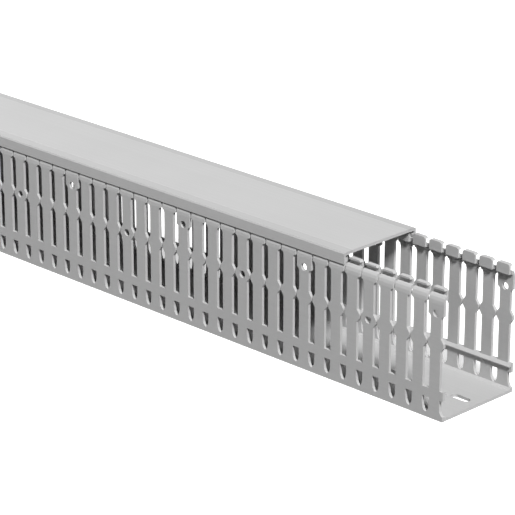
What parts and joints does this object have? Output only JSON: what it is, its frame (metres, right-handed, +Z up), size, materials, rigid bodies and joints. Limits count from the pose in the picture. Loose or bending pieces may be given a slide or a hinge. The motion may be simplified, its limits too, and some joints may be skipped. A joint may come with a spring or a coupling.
{
  "type": "slotted wire duct",
  "caption": "Straight plastic wiring duct with comb-like slotted side walls, a mounting-slotted floor and a clip-on sliding cover.",
  "frame": {"origin": "middle of the underside of the floor, halfway along the channel", "axes": "+X along the duct towards its front end, +Y across it, +Z up out of the open side, where the cover goes"},
  "size_m": [1.075, 0.06, 0.08],
  "materials": {
    "channel": "satin extruded light grey PVC",
    "cover": "satin extruded light grey PVC"
  },
  "bodies": {
    "base": {"channel": "channel"},
    "lid": {"cover": "cover"}
  },
  "joints": [
    {"name": "cover_slide", "type": "slide", "parent": "base", "child": "lid", "axis": [1, 0, 0], "range_m": [-0.425, 0.075]}
  ]
}
